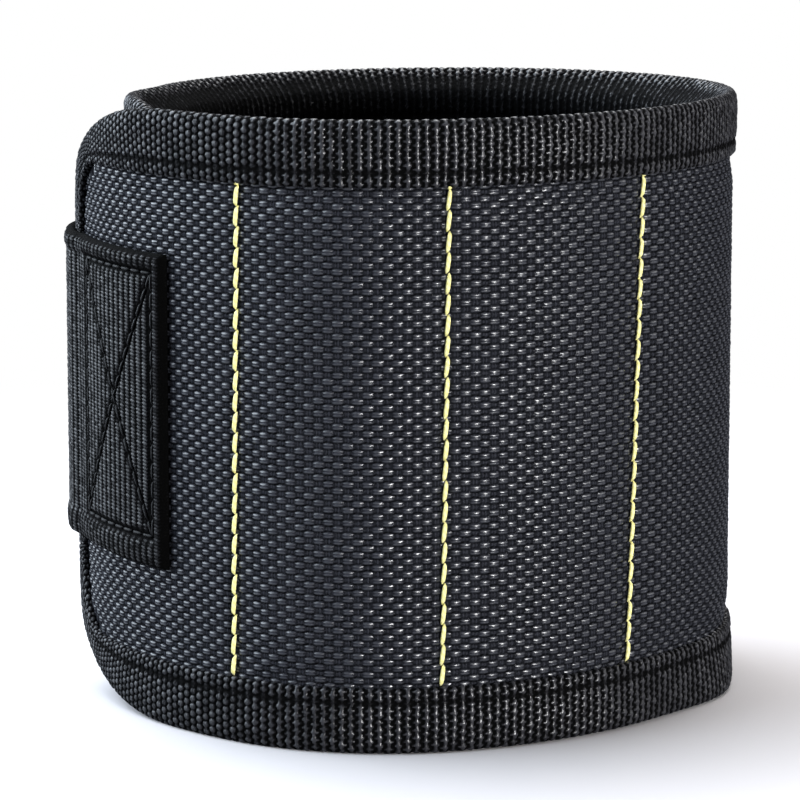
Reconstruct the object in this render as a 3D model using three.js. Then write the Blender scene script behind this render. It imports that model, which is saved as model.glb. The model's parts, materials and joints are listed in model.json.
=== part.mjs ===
import * as THREE from "three";

// Sizes of the flat band, in millimetres
const bandHeight = 90;
const outerEndLength = 56;
const rowPitch = 31.5;
const foldPitch = 34;
const innerEndLength = 48;
const cornerRadius = 29;
const cornerCup = 4.5;
const cupReach = 28;

// Layers of the wall, counted inwards from the face
const faceThickness = 1.1;
const liningThickness = 1.8;
const layerGap = 0.2;
const faceCrown = 0.5;
const pocketDepth = 2.4;
const seamFlat = 1.5;
const seamRamp = 5;

// Binding tape folded over every edge
const bindingWidth = 9.5;
const bindingThickness = 0.9;
const bindingRoll = 0.15;
const sewnGrooveFromLip = 2.1;
const sewnGrooveWidth = 2;

// Magnets, two in each pocket
const magnetDiameter = 16;
const magnetThickness = 1.5;
const magnetSpacing = 28;
const magnetSeat = 0.3;

// Yellow stitch rows that part the pockets
const threadWidth = 0.9;
const threadCrown = 0.54;
const threadHeight = 0.75;
const stitchLength = 3.4;
const stitchNeck = 0.55;

// Closing strap with its hook tape, and the loop tape that it grips
const strapWidth = 46;
const strapRise = 1.2;
const strapThickness = 1.5;
const strapSewnLength = 41.5;
const strapLandsAt = 16;
const strapTipLength = 26;
const tapeWidth = 42;
const loopThickness = 1.2;
const hookThickness = 1.1;
const fastenGap = 0.25;
const loopOnFirstFold = 30;
const loopOnSecondFold = 31;
const tapeEndMargin = 2;

// Worn shape: the turn of each length of the band in degrees, from the outer end
const outerEndTurn = 50;
const pocketTurns = [53, 30.5, 30, 45, 47];
const firstFoldTurn = 42;
const frontHeading = 16;
const overlapClearance = 0.8;

// Gap at each fold, and the spare angle of its relief in degrees
const foldGap = 0.15;
const reliefSpare = 1.5;

// Fineness of the curved surfaces
const longestStep = 6;
const cornerSteps = 8;
const clothSteps = 3;
const spanSteps = 10;
const magnetSides = 24;
const solveRounds = 30;

const radians = THREE.MathUtils.degToRad;
const halfHeight = bandHeight / 2;
const bindingInside = faceThickness + layerGap + liningThickness + layerGap;
const bindingProud = layerGap + bindingThickness + bindingRoll;
const bindingInnerReach = bindingInside + bindingThickness + bindingRoll;
const hemInset = bindingThickness + layerGap + bindingRoll;

const fabric = {
  face: new THREE.MeshStandardMaterial({ color: 0x2c2e36, roughness: 0.85, metalness: 0 }),
  lining: new THREE.MeshStandardMaterial({ color: 0x17181c, roughness: 0.95, metalness: 0 }),
  binding: new THREE.MeshStandardMaterial({ color: 0x121215, roughness: 0.8, metalness: 0 }),
  thread: new THREE.MeshStandardMaterial({ color: 0xf2e56a, roughness: 0.6, metalness: 0 }),
  strap: new THREE.MeshStandardMaterial({ color: 0x1b1b1f, roughness: 0.8, metalness: 0 }),
  hook: new THREE.MeshStandardMaterial({ color: 0x0e0e10, roughness: 0.7, metalness: 0 }),
  loop: new THREE.MeshStandardMaterial({ color: 0x141417, roughness: 1, metalness: 0 }),
  magnet: new THREE.MeshStandardMaterial({ color: 0xb9bcc0, roughness: 0.3, metalness: 1 }),
};

// A length of the band: an arc in plan that starts at x, y and turns anticlockwise seen from above
function bandLength(name, length, turnDegrees) {
  return { name, length, turn: radians(turnDegrees), x: 0, y: 0, heading: 0 };
}

// How far the rounded corners of the two ends cup inwards, fading out with distance from tip and edge
function cup(part, s, z) {
  if (part !== outerEnd && part !== innerEnd) return 0;
  const fromTip = part === outerEnd ? s : part.length - s;
  const near = (distance) => Math.max(0, 1 - distance / cupReach) ** 2;
  return cornerCup * near(fromTip) * near(Math.min(z, bandHeight - z));
}

// Point of a length at distance s along its face, n outwards from the face and z up
function at(part, s, n, z = halfHeight) {
  const radius = part.length / part.turn;
  const out = radius + n - cup(part, s, z);
  const heading = part.heading + (part.turn * s) / part.length;
  const x = part.x - radius * Math.sin(part.heading) + out * Math.sin(heading);
  const y = part.y + radius * Math.cos(part.heading) - out * Math.cos(heading);
  return new THREE.Vector3(x, y, z);
}

// Each length starts where the one before it ends, and in line with it
function layChain(lengths) {
  let heading = radians(frontHeading - pocketTurns[0] - outerEndTurn);
  let end = new THREE.Vector3();
  for (const part of lengths) {
    part.x = end.x;
    part.y = end.y;
    part.heading = heading;
    end = at(part, part.length, 0);
    heading += part.turn;
  }
  return { end, heading };
}

const outerEnd = bandLength("outer_end", outerEndLength, outerEndTurn);
const pockets = pocketTurns.map((turn, i) => bandLength(`pocket_${i + 1}`, rowPitch, turn));
const sidePocket = pockets[2];
const firstFold = bandLength("fold_1", foldPitch, firstFoldTurn);
const secondFold = bandLength("fold_2", foldPitch, firstFoldTurn);
const innerEnd = bandLength("inner_end", innerEndLength, firstFoldTurn);
const lengths = [outerEnd, ...pockets, firstFold, secondFold, innerEnd];

// How far the inner end's tip is from lying parallel inside the outer end, at one layer's distance
function tipError() {
  const tip = layChain(lengths);
  const radius = outerEnd.length / outerEnd.turn;
  const centreX = outerEnd.x - radius * Math.sin(outerEnd.heading);
  const centreY = outerEnd.y + radius * Math.cos(outerEnd.heading);
  const spacing = bindingInnerReach + bindingProud + overlapClearance;
  const dx = tip.end.x - centreX;
  const dy = tip.end.y - centreY;
  const away = Math.hypot(dx, dy);
  const along = dx * Math.cos(tip.heading) + dy * Math.sin(tip.heading);
  return [away - (radius - spacing), along];
}

// The last two turns are found by Newton steps, so that the ends overlap at any size
function closeRing() {
  const step = 1e-5;
  for (let round = 0; round < solveRounds; round += 1) {
    const [a, b] = tipError();
    secondFold.turn += step;
    const [aFold, bFold] = tipError();
    secondFold.turn -= step;
    innerEnd.turn += step;
    const [aEnd, bEnd] = tipError();
    innerEnd.turn -= step;
    const [aByFold, aByEnd] = [(aFold - a) / step, (aEnd - a) / step];
    const [bByFold, bByEnd] = [(bFold - b) / step, (bEnd - b) / step];
    const determinant = aByFold * bByEnd - aByEnd * bByFold;
    secondFold.turn -= (bByEnd * a - aByEnd * b) / determinant;
    innerEnd.turn -= (aByFold * b - bByFold * a) / determinant;
  }
  layChain(lengths);
}

closeRing();

// Angle that straightens the fold between two neighbouring lengths
function foldAngle(index) {
  return (lengths[index].turn + lengths[index + 1].turn) / 2;
}

const widestFold = Math.max(...lengths.slice(1).map((part, i) => foldAngle(i)));
const reliefSlope = Math.tan(widestFold / 2 + radians(reliefSpare));

// What stands out past the face is cut back at a fold, so that the fold can open flat
function foldTrim(n) {
  return foldGap + Math.max(0, n) * reliefSlope;
}

// A mesh whose faces are turned round if they enclose a negative volume
function solid(name, points, triangles, material) {
  let volume = 0;
  for (let i = 0; i < triangles.length; i += 3) {
    const [a, b, c] = [points[triangles[i]], points[triangles[i + 1]], points[triangles[i + 2]]];
    volume += a.dot(b.clone().cross(c));
  }
  const faces = volume < 0 ? triangles.slice().reverse() : triangles;
  const geometry = new THREE.BufferGeometry().setFromPoints(points);
  geometry.setIndex(faces);
  geometry.computeVertexNormals();
  const mesh = new THREE.Mesh(geometry, material);
  mesh.name = name;
  return mesh;
}

// Rings of points joined in order, with the first and last closed by the profile's triangles
function sweep(name, rings, profile, material) {
  const count = profile.length;
  const triangles = [];
  for (let r = 0; r + 1 < rings.length; r += 1) {
    for (let k = 0; k < count; k += 1) {
      const next = (k + 1) % count;
      const [a, b, c, d] = [r * count + k, r * count + next, (r + 1) * count + next, (r + 1) * count + k];
      triangles.push(a, b, c, a, c, d);
    }
  }
  const last = (rings.length - 1) * count;
  const caps = THREE.ShapeUtils.triangulateShape(profile, []);
  const start = THREE.ShapeUtils.isClockWise(profile) ? [0, 1, 2] : [0, 2, 1];
  for (const cap of caps) {
    triangles.push(cap[start[0]], cap[start[1]], cap[start[2]]);
    triangles.push(last + cap[start[0]], last + cap[start[2]], last + cap[start[1]]);
  }
  return solid(name, rings.flat(), triangles, material);
}

// A sheet between two grids of points, closed round its rim
function sheet(name, outer, inner, material) {
  const columns = outer.length;
  const rows = outer[0].length;
  const points = [...outer.flat(), ...inner.flat()];
  const offset = columns * rows;
  const triangles = [];
  for (let i = 0; i + 1 < columns; i += 1) {
    for (let j = 0; j + 1 < rows; j += 1) {
      const [a, b, c, d] = [i * rows + j, (i + 1) * rows + j, (i + 1) * rows + j + 1, i * rows + j + 1];
      triangles.push(a, b, c, a, c, d);
      triangles.push(offset + a, offset + c, offset + b, offset + a, offset + d, offset + c);
    }
  }
  const rim = [];
  for (let i = 0; i < columns; i += 1) rim.push(i * rows);
  for (let j = 1; j < rows; j += 1) rim.push((columns - 1) * rows + j);
  for (let i = columns - 2; i >= 0; i -= 1) rim.push(i * rows + rows - 1);
  for (let j = rows - 2; j > 0; j -= 1) rim.push(j);
  rim.forEach((a, k) => {
    const b = rim[(k + 1) % rim.length];
    triangles.push(a, offset + b, b, a, offset + a, offset + b);
  });
  return solid(name, points, triangles, material);
}

function evenSteps(from, to, longest) {
  const count = Math.max(1, Math.ceil(Math.abs(to - from) / longest));
  return Array.from({ length: count + 1 }, (_, i) => from + ((to - from) * i) / count);
}

const smooth = (t) => THREE.MathUtils.smoothstep(t, 0, 1);

// Stations along a pocket: the stitched seams, the ramps beside them and the middle
function pocketStations(part) {
  const ramp = seamFlat + seamRamp;
  const middle = evenSteps(ramp, part.length - ramp, longestStep);
  return [foldGap, seamFlat, ...middle, part.length - seamFlat, part.length - foldGap];
}

// Stations of an end with rounded corners, with the half height of the cloth at each
function endStations(part, inset) {
  const radius = cornerRadius - inset;
  const stations = [];
  for (let i = 0; i <= cornerSteps; i += 1) {
    const angle = (Math.PI / 2) * (i / cornerSteps);
    const s = cornerRadius - radius * Math.cos(angle);
    stations.push({ s, half: halfHeight - cornerRadius + radius * Math.sin(angle) });
  }
  for (const s of evenSteps(cornerRadius, part.length - foldGap, longestStep).slice(1)) {
    stations.push({ s, half: halfHeight - inset });
  }
  return part === innerEnd ? stations.map((p) => ({ s: part.length - p.s, half: p.half })) : stations;
}

function stationsOf(part) {
  if (part === outerEnd || part === innerEnd) return endStations(part, hemInset);
  const half = halfHeight - hemInset;
  const plain = evenSteps(foldGap, part.length - foldGap, longestStep);
  return (pockets.includes(part) ? pocketStations(part) : plain).map((s) => ({ s, half }));
}

// Share of a pocket's swell: none at the seams and hems, all of it in the middle
function swell(part, s, z) {
  if (!pockets.includes(part)) return 0;
  const fromSeam = Math.min(s, part.length - s) - seamFlat;
  const fromHem = Math.min(z, bandHeight - z) - bindingWidth;
  return smooth(fromSeam / seamRamp) * smooth(fromHem / seamRamp);
}

// Heights across the cloth: the edge, the binding's lip, the ramp and on to the middle, mirrored
function heightsAt(half) {
  const edge = halfHeight - half;
  const lip = edge + bindingWidth - hemInset;
  const ramp = lip + seamRamp;
  const lower = [edge, (edge + lip) / 2, lip];
  for (let i = 0; i < clothSteps; i += 1) lower.push(ramp + ((halfHeight - ramp) * i) / clothSteps);
  return [...lower, halfHeight, ...lower.reverse().map((z) => bandHeight - z)];
}

// One layer of cloth on one length of the band
function clothLayer(name, part, thickness, depthAt, material) {
  const outer = [];
  const inner = [];
  for (const { s, half } of stationsOf(part)) {
    const heights = heightsAt(half);
    outer.push(heights.map((z) => at(part, s, depthAt(s, z), z)));
    inner.push(heights.map((z) => at(part, s, depthAt(s, z) - thickness, z)));
  }
  return sheet(name, outer, inner, material);
}

function facePanel(part) {
  const depthAt = (s, z) => faceCrown * swell(part, s, z);
  return clothLayer(`face_${part.name}`, part, faceThickness, depthAt, fabric.face);
}

function lining(part) {
  const depthAt = (s, z) => -faceThickness - layerGap - pocketDepth * swell(part, s, z);
  return clothLayer(`lining_${part.name}`, part, liningThickness, depthAt, fabric.lining);
}

// Binding section: distance in from the edge, then distance out from the face
function bindingProfile() {
  const out = layerGap + bindingThickness;
  const back = -bindingInside - bindingThickness;
  const groove = bindingWidth - sewnGrooveFromLip;
  const grooveSide = sewnGrooveWidth / 2;
  const shoulder = bindingThickness;
  const section = [
    [bindingWidth, layerGap],
    [bindingWidth, out],
    [groove + grooveSide, out],
    [groove, out - bindingThickness / 2],
    [groove - grooveSide, out + bindingRoll],
    [shoulder * 2, out + bindingRoll],
    [shoulder / 2, layerGap],
    [0, -faceThickness],
    [0, -bindingInside + layerGap],
    [shoulder / 2, -bindingInside],
    [shoulder * 2, back - bindingRoll],
    [groove - grooveSide, back - bindingRoll],
    [groove, back + bindingThickness / 2],
    [groove + grooveSide, back],
    [bindingWidth, back],
    [bindingWidth, -bindingInside],
    [bindingWidth / 2, -bindingInside],
    [bindingThickness + bindingRoll, -bindingInside],
    [bindingThickness + bindingRoll, layerGap],
    [bindingWidth / 2, layerGap],
  ];
  return section.map(([m, n]) => new THREE.Vector2(m, n));
}

const profile = bindingProfile();

// Straight binding along the top or the bottom of one length
function straightBinding(part, top) {
  const edge = top ? "top" : "bottom";
  const stations = evenSteps(0, part.length, longestStep);
  const rings = stations.map((station) =>
    profile.map(({ x: m, y: n }) => {
      const s = THREE.MathUtils.clamp(station, foldTrim(n), part.length - foldTrim(n));
      return at(part, s, n, top ? bandHeight - m : m);
    }),
  );
  return sweep(`binding_${edge}_${part.name}`, rings, profile, fabric.binding);
}

// Binding that runs along the bottom, round the two corners of an end and back along the top
function endBinding(part) {
  const path = [];
  for (const s of evenSteps(part.length, cornerRadius, longestStep).slice(0, -1)) {
    path.push({ s, z: 0, inS: 0, inZ: 1 });
  }
  for (const [centreZ, from] of [[cornerRadius, 0], [bandHeight - cornerRadius, Math.PI / 2]]) {
    for (let i = 0; i <= cornerSteps; i += 1) {
      const angle = from + (Math.PI / 2) * (i / cornerSteps);
      const [inS, inZ] = [Math.sin(angle), Math.cos(angle)];
      path.push({ s: cornerRadius * (1 - inS), z: centreZ - cornerRadius * inZ, inS, inZ });
    }
  }
  for (const s of evenSteps(cornerRadius, part.length, longestStep).slice(1)) {
    path.push({ s, z: bandHeight, inS: 0, inZ: -1 });
  }
  const rings = path.map((p) =>
    profile.map(({ x: m, y: n }) => {
      const s = Math.min(p.s + m * p.inS, part.length - foldTrim(n));
      return at(part, part === innerEnd ? part.length - s : s, n, p.z + m * p.inZ);
    }),
  );
  return sweep(`binding_${part.name}`, rings, profile, fabric.binding);
}

// A magnet lies flat in its pocket, seated on the lining at the middle
function magnet(part, upper) {
  const radius = magnetDiameter / 2;
  const geometry = new THREE.CylinderGeometry(radius, radius, magnetThickness, magnetSides);
  const middle = part.length / 2;
  const seat = -faceThickness - layerGap - pocketDepth + magnetSeat;
  const z = halfHeight + (upper ? magnetSpacing : -magnetSpacing) / 2;
  const centre = at(part, middle, seat + magnetThickness / 2, z);
  const outwards = at(part, middle, 1, z).sub(at(part, middle, 0, z));
  geometry.applyQuaternion(new THREE.Quaternion().setFromUnitVectors(new THREE.Vector3(0, 1, 0), outwards));
  geometry.translate(centre.x, centre.y, centre.z);
  const mesh = new THREE.Mesh(geometry, fabric.magnet);
  mesh.name = `magnet_${upper ? "upper" : "lower"}_${part.name}`;
  return mesh;
}

// A row of stitches just before a seam: each stitch is narrow at its ends and full in its middle
function stitchRow(part, number) {
  const from = bindingWidth + layerGap;
  const to = bandHeight - from;
  const count = Math.round((to - from) / stitchLength);
  const centre = part.length - foldGap * 2 - threadWidth / 2;
  const [foot, crown] = [threadWidth / 2, threadCrown / 2];
  const corners = [[-foot, 0], [foot, 0], [crown, threadHeight], [-crown, threadHeight]];
  const section = corners.map(([x, y]) => new THREE.Vector2(x, y));
  const rings = [];
  for (let i = 0; i <= count * 2; i += 1) {
    const z = from + ((to - from) * i) / (count * 2);
    const full = i % 2 ? 1 : stitchNeck;
    rings.push(section.map(({ x, y }) => at(part, centre + x * full, layerGap + y * full, z)));
  }
  return sweep(`stitch_row_${number}`, rings, section, fabric.thread);
}

// Plan lines of a strip become a sheet between two heights
function strip(name, inner, outer, width, material) {
  const middle = halfHeight + strapRise;
  const [low, high] = [middle - width / 2, middle + width / 2];
  const raise = (line) => line.map((p) => [low, high].map((z) => new THREE.Vector3(p.x, p.y, z)));
  return sheet(name, raise(outer), raise(inner), material);
}

// A strip that follows one length between two distances along it
function stripOn(part, name, from, to, n, thickness, width, material) {
  const stations = evenSteps(from, to, longestStep);
  const outer = stations.map((s) => at(part, s, n + thickness));
  const inner = stations.map((s) => at(part, s, n));
  return strip(name, inner, outer, width, material);
}

const overBinding = bindingProud + layerGap;
const hookFrom = layerGap + loopThickness + fastenGap;
const strapOnTape = hookFrom + hookThickness + layerGap;

// The strap's sewn end lies on the face and steps up over the end binding
function strapAnchor() {
  const foot = bindingWidth + strapThickness;
  const onFace = evenSteps(strapSewnLength, foot + strapThickness, longestStep).map((s) => [s, layerGap]);
  const onBinding = evenSteps(foot, foldGap, longestStep / 2).map((s) => [s, overBinding]);
  const path = [...onFace, ...onBinding];
  const inner = path.map(([s, n]) => at(outerEnd, s, n));
  const outer = path.map(([s, n]) => at(outerEnd, s, n + strapThickness));
  return strip("strap_anchor", inner, outer, strapWidth, fabric.strap);
}

// Between the tip of the outer end and the loop tape the strap spans in one smooth curve
function spanCurve(n) {
  const start = at(outerEnd, 0, overBinding + n);
  const end = at(secondFold, strapLandsAt, strapOnTape + n);
  const reach = start.distanceTo(end) / 3;
  const leave = at(outerEnd, 0, 0).sub(at(outerEnd, foldGap, 0)).setLength(reach);
  const before = at(secondFold, strapLandsAt + foldGap, 0);
  const land = at(secondFold, strapLandsAt, 0).sub(before).setLength(reach);
  return new THREE.CubicBezierCurve3(start, start.clone().add(leave), end.clone().sub(land), end);
}

function strapSpan() {
  const landed = evenSteps(strapLandsAt, foldGap, longestStep).slice(1);
  const line = (n) => {
    const curve = spanCurve(n);
    const shares = evenSteps(foldGap / curve.getLength(), 1, 1 / spanSteps);
    const free = shares.map((t) => curve.getPoint(t));
    return [...free, ...landed.map((s) => at(secondFold, s, strapOnTape + n))];
  };
  return strip("strap_span", line(0), line(strapThickness), strapWidth, fabric.strap);
}

function strapTip() {
  const [from, to] = [firstFold.length - foldGap, firstFold.length - strapTipLength];
  return stripOn(firstFold, "strap_tip", from, to, strapOnTape, strapThickness, strapWidth, fabric.strap);
}

function hookTape(part, name, from, to) {
  return stripOn(part, name, from, to, hookFrom, hookThickness, tapeWidth, fabric.hook);
}

function loopTape(part, name, from, to) {
  return stripOn(part, name, from, to, layerGap, loopThickness, tapeWidth, fabric.loop);
}

function strapPieces() {
  const foldEnd = firstFold.length - foldGap;
  const hookTipEnd = firstFold.length - strapTipLength + tapeEndMargin;
  const loopTrim = foldTrim(layerGap + loopThickness);
  return [
    strapAnchor(),
    strapSpan(),
    strapTip(),
    hookTape(secondFold, "hook_tape_span", strapLandsAt, tapeEndMargin),
    hookTape(firstFold, "hook_tape_tip", foldEnd, hookTipEnd),
    loopTape(secondFold, "loop_tape_fold_2", loopTrim, loopOnSecondFold),
    loopTape(firstFold, "loop_tape_fold_1", foldPitch - loopTrim, foldPitch - loopOnFirstFold),
  ];
}

const wristband = new THREE.Group();
wristband.name = "magnetic_wristband";

for (const length of lengths) {
  wristband.add(facePanel(length), lining(length));
  if (length === outerEnd || length === innerEnd) wristband.add(endBinding(length));
  else wristband.add(straightBinding(length, true), straightBinding(length, false));
}
for (const pocket of pockets) wristband.add(magnet(pocket, true), magnet(pocket, false));
// The side pocket and the one after it are a double pocket, with a plain fold between them
const sewnLengths = [outerEnd, ...pockets].filter((length) => length !== sidePocket);
sewnLengths.forEach((length, i) => wristband.add(stitchRow(length, i + 1)));
wristband.add(...strapPieces());

// The part stands on its bottom edge, centred on its own bounds
const bounds = new THREE.Box3().setFromObject(wristband);
const centre = bounds.getCenter(new THREE.Vector3());
const shift = new THREE.Vector3(-centre.x, -centre.y, -bounds.min.z);
wristband.children.forEach((mesh) => mesh.geometry.translate(shift.x, shift.y, shift.z));

// Where the band and the strap fold, for whoever sets up the joints
wristband.userData.folds = lengths.slice(1).map((length, i) => ({
  between: [lengths[i].name, length.name],
  place: at(length, 0, 0).add(shift).toArray(),
  degrees: THREE.MathUtils.radToDeg(foldAngle(i)),
}));
wristband.userData.strapFolds = [
  at(outerEnd, 0, overBinding + strapThickness).add(shift).toArray(),
  at(secondFold, 0, strapOnTape + strapThickness).add(shift).toArray(),
];

export default wristband;
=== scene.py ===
# %% [markdown]
# # A magnetic wristband, dressed over its CAD frame
# The real band is a long strip of woven cloth with a padded lining behind it. Binding tape is folded over
# every edge, rows of yellow thread part the magnet pockets, and a webbing strap closes the ring. The frame
# gives the rigid lengths and their hinges. Each cloth piece made here spans one hinge.

import json

import bpy
import numpy as np
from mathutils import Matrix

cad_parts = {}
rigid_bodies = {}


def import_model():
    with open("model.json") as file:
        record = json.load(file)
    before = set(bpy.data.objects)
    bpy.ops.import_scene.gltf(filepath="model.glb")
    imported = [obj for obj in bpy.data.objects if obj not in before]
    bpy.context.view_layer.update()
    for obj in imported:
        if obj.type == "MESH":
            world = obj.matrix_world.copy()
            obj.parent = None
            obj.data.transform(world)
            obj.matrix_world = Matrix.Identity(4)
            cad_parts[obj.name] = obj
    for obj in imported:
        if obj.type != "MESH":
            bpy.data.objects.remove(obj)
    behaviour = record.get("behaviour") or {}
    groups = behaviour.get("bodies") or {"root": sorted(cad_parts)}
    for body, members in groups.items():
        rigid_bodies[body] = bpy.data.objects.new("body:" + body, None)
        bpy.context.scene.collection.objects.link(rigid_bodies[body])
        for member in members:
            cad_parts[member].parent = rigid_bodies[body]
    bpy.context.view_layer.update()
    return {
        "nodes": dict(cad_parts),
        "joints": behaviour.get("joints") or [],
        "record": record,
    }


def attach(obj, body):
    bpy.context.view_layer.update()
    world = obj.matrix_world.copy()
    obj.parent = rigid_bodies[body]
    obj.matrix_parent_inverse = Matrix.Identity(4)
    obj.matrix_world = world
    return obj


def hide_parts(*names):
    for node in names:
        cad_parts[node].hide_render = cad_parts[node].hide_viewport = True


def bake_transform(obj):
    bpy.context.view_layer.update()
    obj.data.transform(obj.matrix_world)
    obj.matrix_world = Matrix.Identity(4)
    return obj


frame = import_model()
MM = 0.001

# %% [markdown]
# ## The plan of the ring
# Everything on the band is placed by three numbers: the distance along the strip, the distance out from its
# face and the height. In plan the strip is a chain of arcs that meet at the hinges. Their turns could be
# typed in again, but the joints already hold them, so the chain is worked out from the joints.

# %% Arcs between the hinges
BAND_HEIGHT = 90.0
MIDDLE = BAND_HEIGHT / 2
OUTER_END_LENGTH, INNER_END_LENGTH, OUTER_END_TURN = 56.0, 48.0, 50.0
ORDER = ["outer_end", *[f"pocket_{i}" for i in range(1, 6)], "fold_1", "fold_2", "inner_end"]
FOLD_2, INNER_END = ORDER.index("fold_2"), ORDER.index("inner_end")

joint_of = {frozenset((j["parent"], j["child"])): j for j in frame["joints"]}
share_of = {c["joint"]: c["ratio"] for c in frame["record"]["behaviour"]["couplings"]}
full_drive = next(j["range_deg"][1] for j in frame["joints"] if j["name"] == "band_open")
hinges = [joint_of[frozenset(pair)] for pair in zip(ORDER[:-1], ORDER[1:])]
LAST = len(hinges) - 1
hinge_at = np.array([j["pos_m"][:2] for j in hinges]) / MM
hinge_angle = np.radians([full_drive * share_of.get(j["name"], 1.0) for j in hinges])

turns = [np.radians(OUTER_END_TURN)]
for angle in hinge_angle:
    turns.append(2 * angle - turns[-1])
turns = np.array(turns)
chord = np.diff(hinge_at, axis=0)
half_turn = turns[1:-1] / 2
arc_lengths = np.hypot(*chord.T) * half_turn / np.sin(half_turn)
lengths = np.concatenate([[OUTER_END_LENGTH], arc_lengths, [INNER_END_LENGTH]])
headings = np.arctan2(chord[:, 1], chord[:, 0]) - half_turn
headings = np.concatenate([[headings[0] - turns[0]], headings, [headings[-1] + turns[-2]]])
radii = lengths / turns
starts = np.concatenate([[0.0], np.cumsum(lengths)])
STRIP = starts[-1]
anchors = np.concatenate([hinge_at[:1], hinge_at])
anchor_heading = np.concatenate([headings[1:2], headings[1:]])
centres = anchors + radii[:, None] * np.stack([-np.sin(anchor_heading), np.cos(anchor_heading)], -1)
print("lengths of the strip in mm:", np.round(lengths, 2).tolist())

# %% A point of the band
OUTER_CORNER, INNER_CORNER = (42.0, 21.5), (24.0, 18.0)
CUP_DEPTH, CUP_LONG, CUP_TALL = 4.0, 38.0, 11.0
SPRING_OUT, SPRING_FROM, SPRING_LONG = 2.6, 4.0, 14.0
FLARE, FLARE_AT, FLARE_LONG, FLARE_TALL = 2.0, 142.0, 10.0, 25.0


def smooth(t):
    """Smooth step from 0 to 1 while t goes from 0 to 1."""
    t = np.clip(t, 0, 1)
    return t * t * (3 - 2 * t)


def cup(s, z):
    """Inward cup of the outer end's corners: the product of two squares that fall to 0 at the reach from
    tip and edge."""
    from_edge = np.minimum(z, BAND_HEIGHT - z)
    return CUP_DEPTH * np.clip(1 - s / CUP_LONG, 0, 1) ** 2 * np.clip(1 - from_edge / CUP_TALL, 0, 1) ** 2


def flare(s, z):
    """Outward flare of the lower edge at the right: a bell curve along the strip times a square that falls
    with height."""
    return FLARE * np.exp(-(((s - FLARE_AT) / FLARE_LONG) ** 2)) * np.clip(1 - z / FLARE_TALL, 0, 1) ** 2


def spring(s):
    """Outward spring of the inner end: a smooth step along the strip."""
    return SPRING_OUT * smooth((s - starts[INNER_END] - SPRING_FROM) / SPRING_LONG)


def band(s, n, z):
    """Point at s along the strip, n out from its face and z up, in metres: on each length it lies on a circle
    about the arc's centre, whose radius is the arc's own plus n, less the cup, plus the flare and spring."""
    s, n, z = np.broadcast_arrays(np.asarray(s, float), n, z)
    k = np.clip(np.searchsorted(starts, s, side="right") - 1, 0, len(ORDER) - 1)
    angle = headings[k] + (s - starts[k]) / radii[k]
    out = radii[k] + n - cup(s, z) + flare(s, z) + spring(s)
    return np.stack([centres[k, 0] + out * np.sin(angle), centres[k, 1] - out * np.cos(angle), z], -1) * MM


def chance(i, j):
    """A fixed random share from 0 to 1 for each pair of whole numbers, the fraction of a large sine."""
    wave = np.sin(i * 12.9898 + j * 78.233) * 43758.5453
    return wave - np.floor(wave)


print("strip length in mm:", round(STRIP, 1))

# %% [markdown]
# ## One way to make every cloth piece
# Tape, cloth and webbing are all closed skins carried along a path: a ring of points for each step of the
# path, joined to the next ring, and a polygon at each end. A modifier could thicken an open sheet instead,
# but a closed ring lets the outside be fine and the hidden inside coarse.

# %% Skin through rings of points
FLAT_UNIT = 100
DRAWN_BACK = 0.05


def shell(name, rings, material, cloth, **fields):
    """Closed skin through rings[i, k]: ring i joins ring i + 1 by a quad for each step of k, which wraps
    round, and the first and last rings are filled. cloth holds a flat place in mm for each point, and each
    field a value."""
    count, around = rings.shape[:2]
    index = np.arange(count * around).reshape(count, around)
    beside = np.roll(index, -1, axis=1)
    quads = np.stack([index[:-1], index[1:], beside[1:], beside[:-1]], -1).reshape(-1, 4)
    corners = np.concatenate([quads.ravel(), index[0], index[-1][::-1]])
    sizes = np.concatenate([np.full(len(quads), 4), [around, around]])
    mesh = bpy.data.meshes.new(name)
    mesh.vertices.add(count * around)
    mesh.vertices.foreach_set("co", rings.reshape(-1).astype(np.float32))
    mesh.loops.add(len(corners))
    mesh.loops.foreach_set("vertex_index", corners.astype(np.int32))
    mesh.polygons.add(len(sizes))
    mesh.polygons.foreach_set("loop_start", np.concatenate([[0], np.cumsum(sizes)[:-1]]).astype(np.int32))
    mesh.polygons.foreach_set("use_smooth", np.concatenate([np.ones(len(quads), bool), [False, False]]))
    mesh.update(calc_edges=True)
    flat = mesh.uv_layers.new(name="cloth")
    flat.data.foreach_set("uv", (cloth.reshape(-1, 2)[corners] / FLAT_UNIT).reshape(-1).astype(np.float32))
    for label, values in fields.items():
        attribute = mesh.attributes.new(label, "FLOAT", "POINT")
        attribute.data.foreach_set("value", values.reshape(-1).astype(np.float32))
    mesh.materials.append(material)
    piece = bpy.data.objects.new(name, mesh)
    bpy.context.scene.collection.objects.link(piece)
    return piece


def joined(parts, name):
    """All the parts as one piece of the given name."""
    with bpy.context.temp_override(active_object=parts[0], selected_editable_objects=parts):
        bpy.ops.object.join()
    parts[0].name = parts[0].data.name = name
    return parts[0]


def beyond(places):
    """The places with one more step at each end."""
    return np.concatenate([[2 * places[0] - places[1]], places, [2 * places[-1] - places[-2]]])


def draw_back(rings):
    """The first and last rings drawn back almost onto their neighbours: they give the piece's ends the same
    normals as the next piece has there, and stay too short to be seen."""
    rings[0] = rings[1] + DRAWN_BACK * (rings[0] - rings[1])
    rings[-1] = rings[-2] + DRAWN_BACK * (rings[-1] - rings[-2])
    return rings


def bend_between(piece):
    """Bakes the piece's transform into its mesh; the piece is not bent and not given to a body."""
    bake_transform(piece)


def bend_at(piece):
    """Bakes the piece's transform into its mesh through bend_between; nothing bends it at a hinge."""
    bend_between(piece)


def nodes_at(kind, k, last):
    """CAD nodes of a kind that the piece at hinge k stands for: its own length's, and the next one's if it is
    the last piece."""
    return [f"{kind}_{name}" for name in ORDER[k:k + 1 + (k == last)]]
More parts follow.
